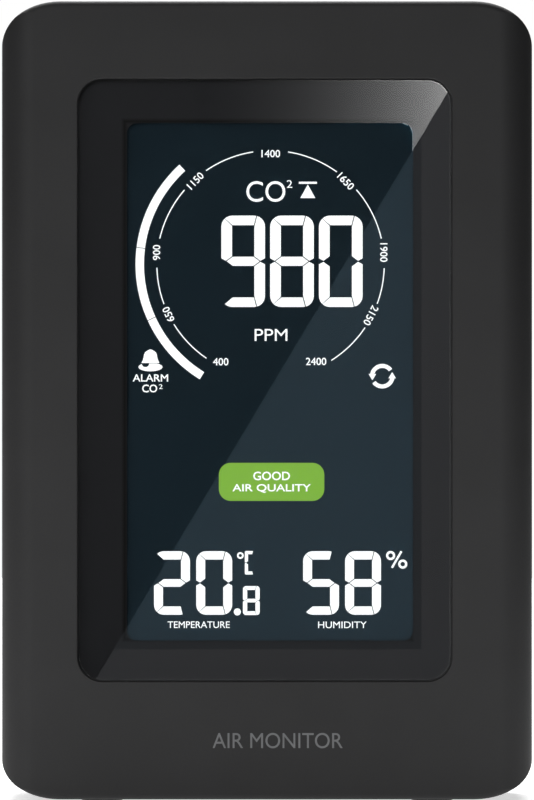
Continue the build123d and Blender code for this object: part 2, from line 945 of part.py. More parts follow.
pieces = {
    "front_housing": front_housing(),
    "rear_housing": rear_housing(),
    "display_window": display_window(),
    "window_mask": window_mask(),
    "window_tape": window_tape(),
    "front_polariser": front_polariser(),
    "rear_polariser": rear_polariser(),
    "lcd_front_glass": lcd_front_glass(),
    "lcd_rear_glass": lcd_rear_glass(),
    "backlight_diffuser": backlight_diffuser(),
    "backlight_guide": backlight_guide(),
    "backlight_reflector": backlight_reflector(),
    "backlight_leds": led_row(),
    "lcd_holder": lcd_holder(),
    "zebra_strip": zebra_strip(),
    "main_board": main_board(),
    "board_screws": board_screws(),
    "microcontroller": microcontroller(),
    "board_parts": board_parts(),
    "buzzer": buzzer(),
    "climate_sensor": climate_sensor(),
    "sensor_board": sensor_board(),
    "sensor_chamber": sensor_chamber(),
    "sensor_membrane": sensor_membrane(),
    "sensor_pins": sensor_pins(),
    "battery_pack": battery_pack(),
    "battery_pad": battery_pad(),
    "battery_lead": battery_lead(),
    "battery_connector": battery_connector(),
    "usb_shell": usb_shell(),
    "usb_tongue": usb_tongue(),
    "key_board": key_board(),
    "key_switches": key_switches(),
    "power_switch": power_switch(),
    "power_slider": power_slider(),
    "ribbon_connector": ribbon_connector(),
    "key_ribbon": key_ribbon(),
    "dust_screens": dust_screens(),
    "housing_screws": housing_screws(),
    "fold_stand": fold_stand(),
    "stand_pins": stand_pins(),
    "stand_pad": stand_pad(),
    "rubber_feet": rubber_feet(),
}
for name, across in key_places.items():
    pieces[f"key_{name}"] = key_cap(across)
    pieces[f"plunger_{name}"] = key_plunger(across)

os.makedirs("parts", exist_ok=True)
for node, shape in pieces.items():
    solids = shape if isinstance(shape, list) else [shape]
    lifted = [Pos(0, 0, foot_proud) * solid for solid in solids]
    export_step(lifted[0] if len(lifted) == 1 else Compound(children=lifted), f"parts/{node}.step")
    print(node, len(lifted), round(sum(solid.volume for solid in lifted), 1))
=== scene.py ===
import math

import bpy
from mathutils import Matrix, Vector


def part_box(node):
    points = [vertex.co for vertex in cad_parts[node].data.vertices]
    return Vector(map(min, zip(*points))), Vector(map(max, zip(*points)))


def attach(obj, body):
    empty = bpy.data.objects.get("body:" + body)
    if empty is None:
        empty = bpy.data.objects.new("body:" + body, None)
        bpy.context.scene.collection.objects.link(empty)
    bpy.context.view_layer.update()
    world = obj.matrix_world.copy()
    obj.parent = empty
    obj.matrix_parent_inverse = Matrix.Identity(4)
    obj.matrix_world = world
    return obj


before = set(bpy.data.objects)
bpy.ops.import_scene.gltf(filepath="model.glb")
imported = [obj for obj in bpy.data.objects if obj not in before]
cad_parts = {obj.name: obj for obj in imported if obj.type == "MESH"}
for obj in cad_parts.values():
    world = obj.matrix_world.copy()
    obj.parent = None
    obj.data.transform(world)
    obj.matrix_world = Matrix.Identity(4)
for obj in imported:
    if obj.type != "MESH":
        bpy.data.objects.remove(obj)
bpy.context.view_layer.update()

print("frame loaded:", len(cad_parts), "parts")

mergeWithin = 0.0005  # points nearer than this are one

# Small helpers: sizes are in millimetres until they meet Blender
def mm(value):
    return value / 1000


def hexToLinear(code):  # sRGB hex to the linear colour that a socket wants
    channels = []
    for start in (1, 3, 5):
        value = int(code[start:start + 2], 16) / 255
        channels.append(value / 12.92 if value <= 0.04045 else ((value + 0.055) / 1.055) ** 2.4)
    return (*channels, 1.0)


def addNode(tree, kind, values=None, links=None):
    node = tree.nodes.new(kind)
    for key, value in (values or {}).items():
        if isinstance(key, str) and hasattr(node, key):
            setattr(node, key, value)
        else:
            node.inputs[key].default_value = value
    for key, source in (links or {}).items():
        tree.links.new(source, node.inputs[key])
    return node


def pickOnly(*pieces):
    if bpy.context.object and bpy.context.object.mode != "OBJECT":
        bpy.ops.object.mode_set(mode="OBJECT")
    bpy.ops.object.select_all(action="DESELECT")
    for piece in pieces:
        piece.select_set(True)
    bpy.context.view_layer.objects.active = pieces[0] if pieces else None


def settle(piece):  # the place goes into the mesh, the object stays at the origin
    pickOnly(piece)
    bpy.ops.object.transform_apply(location=True, rotation=True, scale=True)
    return piece


def joinAll(name, parts):
    pickOnly(*parts)
    if len(parts) > 1:
        bpy.ops.object.join()
    joined = bpy.context.object
    joined.name = name
    joined.data.name = name
    return joined


def copyOf(piece, across=0, up=0):  # in metres
    twin = piece.copy()
    twin.data = piece.data.copy()
    bpy.context.scene.collection.objects.link(twin)
    pickOnly(twin)
    twin.location = (across, 0, up)
    return settle(twin)


def takeAway(piece):
    bpy.data.objects.remove(piece, do_unlink=True)


def openAll(piece):  # into edit mode, with the whole piece selected
    pickOnly(piece)
    bpy.ops.object.mode_set(mode="EDIT")
    bpy.ops.mesh.select_all(action="SELECT")


def close(piece):
    bpy.ops.object.mode_set(mode="OBJECT")
    return piece


def useModifier(piece, kind, **settings):
    pickOnly(piece)
    modifier = piece.modifiers.new(kind.lower(), kind)
    for key, value in settings.items():
        setattr(modifier, key, value)
    bpy.ops.object.modifier_apply(modifier=modifier.name)
    return piece


def tidyMesh(piece):
    openAll(piece)
    bpy.ops.mesh.remove_doubles(threshold=mm(mergeWithin))
    bpy.ops.mesh.normals_make_consistent(inside=False)
    return close(piece)


def selectEdges(piece, wanted):  # picks edges by a rule on their two end points
    pickOnly(piece)
    bpy.ops.object.mode_set(mode="EDIT")
    bpy.ops.mesh.select_mode(type="EDGE")
    bpy.ops.mesh.select_all(action="DESELECT")
    bpy.ops.object.mode_set(mode="OBJECT")
    points = [vertex.co.copy() for vertex in piece.data.vertices]
    for edge in piece.data.edges:
        edge.select = wanted(points[edge.vertices[0]], points[edge.vertices[1]])
    bpy.ops.object.mode_set(mode="EDIT")


def selectFaces(piece, wanted):  # picks faces by a rule on their middle and normal
    pickOnly(piece)
    bpy.ops.object.mode_set(mode="EDIT")
    bpy.ops.mesh.select_mode(type="FACE")
    bpy.ops.mesh.select_all(action="DESELECT")
    bpy.ops.object.mode_set(mode="OBJECT")
    for face in piece.data.polygons:
        face.select = wanted(face.center, face.normal)
    bpy.ops.object.mode_set(mode="EDIT")


def finishPiece(piece, name, finish, body):
    piece.name = name
    piece.data.name = name
    settle(piece)
    piece.data.materials.clear()
    piece.data.materials.append(finish)
    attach(piece, body)
    return piece


# Camera and studio
view = {
    "lens": 300, "sensor": 36,  # long lens, as for a catalogue picture
    "tall": 135.86,  # what the frame shows at the outline of the front edge
    "outline": -8.5, "up": 67.86, "across": 0.0,
}

viewDistance = view["tall"] * view["lens"] / view["sensor"]
bpy.ops.object.camera_add(location=(mm(view["across"]), mm(view["outline"] - viewDistance), mm(view["up"])),
                          rotation=(math.pi / 2, 0, 0))
camera = bpy.context.object
camera.data.lens = view["lens"]
camera.data.sensor_width = view["sensor"]
camera.data.clip_start = 0.01
bpy.context.scene.camera = camera
bpy.context.scene.view_settings.view_transform = "Standard"

studio = {
    "worldSeen": 1.0,  # the sweep behind the object is blown out to white
    "worldFill": 0.03,
    "worldGloss": 0.015,  # dark room ahead of the window, so that only the cards show in it
    "floorWide": 4.0, "floorDeep": 1.85,
    "floorMiddle": 0.475,  # the floor stops short of where the window would show it
    "floorGlow": 0.62,  # a light table, keeps the foot shadow pale
    "aim": 67.0,  # height that the softboxes look at
    "flags": {"rightFlag": 0.21, "leftFlag": -0.32},  # black felt at both sides keeps the edges dark
    "flagLong": 1.0, "flagTall": 0.45,
    "softboxes": {
        # name: (place in metres, size, power in watts, colour)
        "keyFront": ((-0.60, -2.30, 0.90), 0.8, 10.4, "#ffffff"),
        "keyLeft": ((-0.95, -0.80, 0.75), 0.7, 2.2, "#fffdfb"),
        "topBox": ((0.0, 0.55, 1.35), 1.1, 22.0, "#ffffff"),
        "backBox": ((-0.25, 1.60, 0.70), 0.9, 12.0, "#ffffff"),
    },
}

world = bpy.data.worlds.new("studioSweep")
bpy.context.scene.world = world
world.use_nodes = True
sweep = world.node_tree
sweep.nodes.clear()
rays = addNode(sweep, "ShaderNodeLightPath")
seen, fill, gloss = (
    addNode(sweep, "ShaderNodeBackground", {"Color": (1, 1, 1, 1), "Strength": studio[share]})
    for share in ("worldSeen", "worldFill", "worldGloss"))
unseen = addNode(sweep, "ShaderNodeMixShader", {}, {
    0: rays.outputs["Is Glossy Ray"], 1: fill.outputs["Background"], 2: gloss.outputs["Background"]})
both = addNode(sweep, "ShaderNodeMixShader", {}, {
    0: rays.outputs["Is Camera Ray"], 1: unseen.outputs["Shader"], 2: seen.outputs["Background"]})
addNode(sweep, "ShaderNodeOutputWorld", {}, {"Surface": both.outputs["Shader"]})

for name, (place, size, power, tint) in studio["softboxes"].items():
    bpy.ops.object.light_add(type="AREA", location=place)
    box = bpy.context.object
    box.name = name
    box.data.shape = "SQUARE"
    box.data.size = size
    box.data.energy = power
    box.data.color = hexToLinear(tint)[:3]
    aim = (-box.location[0], -box.location[1], mm(studio["aim"]) - box.location[2])
    flat = math.hypot(aim[0], aim[1])
    box.rotation_euler = (math.atan2(flat, -aim[2]), 0, math.atan2(aim[1], aim[0]) - math.pi / 2)

bpy.ops.mesh.primitive_plane_add(size=1, location=(0, studio["floorMiddle"], 0))
floor = bpy.context.object
floor.name = "studioFloor"
floor.scale = (studio["floorWide"], studio["floorDeep"], 1)
floorPaint = bpy.data.materials.new("paintedStudioFloor")  # matt white paint, lets the edges melt away
floorPaint.use_nodes = True
floorShader = floorPaint.node_tree.nodes["Principled BSDF"]
for socket, value in {"Roughness": 0.9, "Specular IOR Level": 0.1, "Emission Color": (1, 1, 1, 1),
                      "Emission Strength": studio["floorGlow"]}.items():
    floorShader.inputs[socket].default_value = value
floorGrain = addNode(floorPaint.node_tree, "ShaderNodeTexNoise", {"Scale": 40.0, "Detail": 2.0})
floorTone = addNode(floorPaint.node_tree, "ShaderNodeMix", {
    "data_type": "RGBA", 6: (0.92, 0.92, 0.92, 1), 7: (0.96, 0.96, 0.96, 1)}, {0: floorGrain.outputs["Fac"]})
floorPaint.node_tree.links.new(floorTone.outputs[2], floorShader.inputs["Base Color"])
floor.data.materials.append(floorPaint)

flagFelt = bpy.data.materials.new("blackFlagFelt")  # swallows nearly all light
flagFelt.use_nodes = True
for socket, value in {"Base Color": hexToLinear("#0c0c0c"), "Roughness": 1.0,
                      "Specular IOR Level": 0.0}.items():
    flagFelt.node_tree.nodes["Principled BSDF"].inputs[socket].default_value = value
for name, across in studio["flags"].items():
    bpy.ops.mesh.primitive_plane_add(size=1, location=(across, 0, studio["flagTall"] / 2),
                                     rotation=(0, math.pi / 2, 0))
    flag = bpy.context.object
    flag.name = name
    flag.scale = (studio["flagTall"], studio["flagLong"], 1)
    flag.visible_camera = False
    flag.visible_shadow = False
    flag.data.materials.append(flagFelt)
print("studio set")

# Cards that the glossy window mirrors. A point of the window shows the card point that the mirror law gives.
cards = {
    "behind": 1500.0,  # card plane, in front of the object
    "pane": -13.85,  # front face of the window
    "rimRight": 46.0, "rimHead": 124.2, "rimFoot": 8.0,  # past the window's edges, lit at its lower right
    "rimLight": 0.42, "rimTint": "#f8faff",
    "glassLight": 0.225, "glassTint": "#e6f4ff",  # dimmer where the display doubles the mirror
    "slope": 1.669, "through": (30.7, 120.2),  # the slanted edge of the light
    "corner": [(-12.0, 114.7), (22.8, 114.7), (24.1, 114.2), (24.6, 113.0), (24.6, 110.0), (33.1, 124.2),
               (-12.0, 124.2)],  # the brighter corner at the upper right, only on the border
    "cornerLight": 0.33, "cornerLess": 0.12, "cornerGrow": 0.099,  # light doubles every 7 mm to the right
}

eyeToPane = -(view["outline"] - viewDistance) + cards["pane"]
mirror = (eyeToPane + cards["behind"] + cards["pane"]) / eyeToPane


def cardPoint(across, up):
    return (mm(view["across"] + (across - view["across"]) * mirror), mm(-cards["behind"]),
            mm(view["up"] + (up - view["up"]) * mirror))


def hangCard(name, outline, strength, tint, grow=0.0, less=0.0):
    mesh = bpy.data.meshes.new(name)
    mesh.from_pydata([cardPoint(*point) for point in outline], [], [tuple(range(len(outline)))])
    card = bpy.data.objects.new(name, mesh)
    bpy.context.scene.collection.objects.link(card)
    card.visible_camera = False
    card.visible_diffuse = False
    card.visible_shadow = False
    paint = bpy.data.materials.new(name + "Glow")
    paint.use_nodes = True
    tree = paint.node_tree
    tree.nodes.clear()
    glow = addNode(tree, "ShaderNodeEmission", {"Color": hexToLinear(tint), "Strength": strength})
    if grow:
        place = addNode(tree, "ShaderNodeTexCoord")
        apart = addNode(tree, "ShaderNodeSeparateXYZ", {}, {0: place.outputs["Object"]})
        scaled = addNode(tree, "ShaderNodeMath", {"operation": "MULTIPLY", 1: grow * 1000 / mirror},
                         {0: apart.outputs["X"]})
        grown = addNode(tree, "ShaderNodeMath", {"operation": "EXPONENT"}, {0: scaled.outputs[0]})
        level = addNode(tree, "ShaderNodeMath", {"operation": "MULTIPLY_ADD", 1: strength, 2: -less},
                        {0: grown.outputs[0]})
        clipped = addNode(tree, "ShaderNodeMath", {"operation": "MAXIMUM", 1: 0.0}, {0: level.outputs[0]})
        tree.links.new(clipped.outputs[0], glow.inputs["Strength"])
    addNode(tree, "ShaderNodeOutputMaterial", {}, {"Surface": glow.outputs[0]})
    card.data.materials.append(paint)
    return card


def slantAt(up):  # how far across the slanted edge is at a height
    return cards["through"][0] + (up - cards["through"][1]) / cards["slope"]


glassLow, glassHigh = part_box("front_polariser")
glassMiddle = (glassLow + glassHigh) / 2
left, right, foot = (value * 1000 for value in (glassLow.x, glassHigh.x, glassLow.z))
slantUp = cards["through"][1] + (right - cards["through"][0]) * cards["slope"]
slantDown = cards["through"][1] + (left - cards["through"][0]) * cards["slope"]
hangCard("glassCard", [(right, slantUp), (right, foot), (left, foot), (left, slantDown)],
         cards["glassLight"], cards["glassTint"])
rimRight, rimHead, rimFoot = cards["rimRight"], cards["rimHead"], cards["rimFoot"]
hangCard("rimRightCard", [(slantAt(rimHead), rimHead), (rimRight, rimHead), (rimRight, foot), (right, foot),
                          (right, slantUp)], cards["rimLight"], cards["rimTint"])
hangCard("rimFootCard", [(left, slantDown), (left, foot), (rimRight, foot), (rimRight, rimFoot),
                         (slantAt(rimFoot), rimFoot)], cards["rimLight"], cards["rimTint"])
hangCard("cornerCard", cards["corner"], cards["cornerLight"], "#ffffff", cards["cornerGrow"],
         cards["cornerLess"])
print("cards hung")


def openFinish(name, values):
    finish = bpy.data.materials.new(name)
    finish.use_nodes = True
    tree = finish.node_tree
    tree.nodes.clear()
    shader = addNode(tree, "ShaderNodeBsdfPrincipled", values)
    addNode(tree, "ShaderNodeOutputMaterial", {}, {"Surface": shader.outputs["BSDF"]})
    return finish, tree, shader


def patternPlace(tree, stretch=(1, 1, 1), turn=(0, 0, 0)):
    place = addNode(tree, "ShaderNodeTexCoord")
    return addNode(tree, "ShaderNodeMapping", {"Scale": stretch, "Rotation": turn},
                   {"Vector": place.outputs["Object"]}).outputs["Vector"]


def perMetre(size):  # a pattern that repeats every so many millimetres
    return 1000 / size


def blendTone(tree, shader, amount, dark, light, socket="Base Color"):
    tone = addNode(tree, "ShaderNodeMix", {"data_type": "RGBA", 6: hexToLinear(dark), 7: hexToLinear(light)},
                   {0: amount})
    tree.links.new(tone.outputs[2], shader.inputs[socket])
    return tone.outputs[2]


def spreadValue(tree, amount, low, high, start=0.3, end=0.7):
    spread = addNode(tree, "ShaderNodeMapRange", {
        "From Min": start, "From Max": end, "To Min": low, "To Max": high}, {"Value": amount})
    return spread.outputs["Result"]


def raiseGrain(tree, shader, height, depth, strength=1.0, under=None):
    links = {"Height": height}
    if under is not None:
        links["Normal"] = under
    bump = addNode(tree, "ShaderNodeBump", {"Strength": strength, "Distance": mm(depth)}, links)
    tree.links.new(bump.outputs["Normal"], shader.inputs["Normal"])
    return bump.outputs["Normal"]


def grainedFinish(name, look):  # moulded, painted, rubbery and cast surfaces
    finish, tree, shader = openFinish(name, look.get("fixed", {}))
    place = patternPlace(tree, look.get("stretch", (1, 1, 1)))
    tone = addNode(tree, "ShaderNodeTexNoise", {"Scale": perMetre(look["toneMm"]), "Detail": 3.0},
                   {"Vector": place})
    grain = addNode(tree, "ShaderNodeTexNoise", {
        "Scale": perMetre(look["grainMm"]), "Detail": 4.0, "Roughness": 0.6}, {"Vector": place})
    amount = spreadValue(tree, tone.outputs["Fac"], 0.0, 1.0)
    blendTone(tree, shader, amount, look["dark"], look["light"])
    tree.links.new(spreadValue(tree, grain.outputs["Fac"], *look["rough"]), shader.inputs["Roughness"])
    raised = raiseGrain(tree, shader, grain.outputs["Fac"], look["depthMm"], look.get("strength", 0.6))
    if "pebbleMm" in look:  # spark-eroded tool steel leaves small rounded pebbles
        pebble = addNode(tree, "ShaderNodeTexVoronoi", {
            "Scale": perMetre(look["pebbleMm"]), "feature": "SMOOTH_F1"}, {"Vector": place})
        raiseGrain(tree, shader, pebble.outputs["Distance"], look["pebbleDeepMm"], 0.5, raised)
    return finish


def inkWithPaintedShadeEdge(name, look):  # screen ink with painted shade: a jet black band just outside the clear opening stands in for the shadow at its edge
    finish = grainedFinish(name, look)
    tree = finish.node_tree
    edge = look["edge"]
    shader = next(node for node in tree.nodes if node.type == "BSDF_PRINCIPLED")
    tone = shader.inputs["Base Color"].links[0].from_socket
    place = addNode(tree, "ShaderNodeTexCoord")
    apart = addNode(tree, "ShaderNodeSeparateXYZ", {}, {0: place.outputs["Object"]})
    away = []
    for axis, low, high in (("X", "left", "right"), ("Z", "foot", "head")):
        moved = addNode(tree, "ShaderNodeMath", {
            "operation": "SUBTRACT", 1: mm(edge[low] + edge[high]) / 2}, {0: apart.outputs[axis]})
        size = addNode(tree, "ShaderNodeMath", {"operation": "ABSOLUTE"}, {0: moved.outputs[0]})
        away.append(addNode(tree, "ShaderNodeMath", {
            "operation": "SUBTRACT", 1: mm(edge[high] - edge[low]) / 2}, {0: size.outputs[0]}))
    beyond = addNode(tree, "ShaderNodeMath", {"operation": "MAXIMUM"}, {
        0: away[0].outputs[0], 1: away[1].outputs[0]})
    near = addNode(tree, "ShaderNodeMath", {"operation": "ABSOLUTE"}, {0: beyond.outputs[0]})
    # painted shade: within this band the ink turns jet black, standing in for the shadow along the opening's
    # edge
    line = spreadValue(tree, near.outputs[0], 1.0, 0.0, 0.0, mm(edge["wide"]))
    deep = addNode(tree, "ShaderNodeMix", {"data_type": "RGBA", 7: hexToLinear(edge["tone"])},
                   {0: line, 6: tone})
    tree.links.new(deep.outputs[2], shader.inputs["Base Color"])
    return finish


def drawnFinish(name, look):  # metal with the lines of its making
    finish, tree, shader = openFinish(name, {"Metallic": 1.0, **look.get("fixed", {})})
    place = patternPlace(tree, look["stretch"])
    lines = addNode(tree, "ShaderNodeTexNoise", {
        "Scale": perMetre(look["lineMm"]), "Detail": 5.0, "Roughness": 0.7}, {"Vector": place})
    cloud = addNode(tree, "ShaderNodeTexNoise", {"Scale": perMetre(look["toneMm"]), "Detail": 2.0},
                    {"Vector": patternPlace(tree)})
    blendTone(tree, shader, spreadValue(tree, cloud.outputs["Fac"], 0.0, 1.0), look["dark"], look["light"])
    tree.links.new(spreadValue(tree, lines.outputs["Fac"], *look["rough"]), shader.inputs["Roughness"])
    raiseGrain(tree, shader, lines.outputs["Fac"], look["depthMm"], 0.4)
    return finish


def boardFinish(name, look):  # solder mask over etched copper: lighter tracks and small round vias
    finish, tree, shader = openFinish(name, look["fixed"])
    place = patternPlace(tree, turn=(math.pi / 2, 0, 0))
    tracks = addNode(tree, "ShaderNodeTexBrick", {
        "Scale": perMetre(look["trackMm"]), "Mortar Size": 0.06, "Color1": (0, 0, 0, 1),
        "Color2": (0.15, 0.15, 0.15, 1), "Mortar": (1, 1, 1, 1), "Row Height": 0.35}, {"Vector": place})
    vias = addNode(tree, "ShaderNodeTexVoronoi", {"Scale": perMetre(look["viaMm"])}, {"Vector": place})
    ring = spreadValue(tree, vias.outputs["Distance"], 1.0, 0.0, 0.10, 0.13)
    masked = blendTone(tree, shader, tracks.outputs["Fac"], look["mask"], look["copper"])
    tinned = addNode(tree, "ShaderNodeMix", {"data_type": "RGBA", 7: hexToLinear(look["tin"])},
                     {0: ring, 6: masked})
    tree.links.new(tinned.outputs[2], shader.inputs["Base Color"])
    tree.links.new(ring, shader.inputs["Metallic"])
    raiseGrain(tree, shader, tracks.outputs["Fac"], 0.03, 0.5)
    return finish


bandsPerUnit = 3.18  # how many bands a wave texture draws in one unit at scale 1


def meshFinish(name, look):  # plain weave of fine monofilament
    finish, tree, shader = openFinish(name, look["fixed"])
    place = patternPlace(tree)
    weave = perMetre(look["pitchMm"]) / bandsPerUnit
    along = addNode(tree, "ShaderNodeTexWave", {"Scale": weave, "bands_direction": "X"}, {"Vector": place})
    upward = addNode(tree, "ShaderNodeTexWave", {"Scale": weave, "bands_direction": "Z"}, {"Vector": place})
    thread = addNode(tree, "ShaderNodeMath", {"operation": "MAXIMUM"}, {
        0: along.outputs["Fac"], 1: upward.outputs["Fac"]})
    blendTone(tree, shader, thread.outputs[0], look["dark"], look["light"])
    tree.links.new(spreadValue(tree, thread.outputs[0], *look["rough"]), shader.inputs["Roughness"])
    raiseGrain(tree, shader, thread.outputs[0], look["pitchMm"] * 0.4, 0.8)
    return finish


def litFinish(name, look):  # a part that gives light: the glow itself is one plain value
    finish, tree, shader = openFinish(name, {
        "Emission Color": hexToLinear(look["glow"]), "Emission Strength": look["strength"],
        "Roughness": 0.5})
    cell = addNode(tree, "ShaderNodeTexNoise", {"Scale": perMetre(look["toneMm"]), "Detail": 2.0},
                   {"Vector": patternPlace(tree)})
    blendTone(tree, shader, cell.outputs["Fac"], look["dark"], look["light"])
    return finish


def clearFinish(name, look):  # polished sheet: no grain at all, only a breath of uneven tint
    finish, tree, shader = openFinish(name, look["fixed"])
    haze = addNode(tree, "ShaderNodeTexNoise", {"Scale": perMetre(look["toneMm"]), "Detail": 1.0},
                   {"Vector": patternPlace(tree)})
    blendTone(tree, shader, haze.outputs["Fac"], look["dark"], look["light"])
    return finish


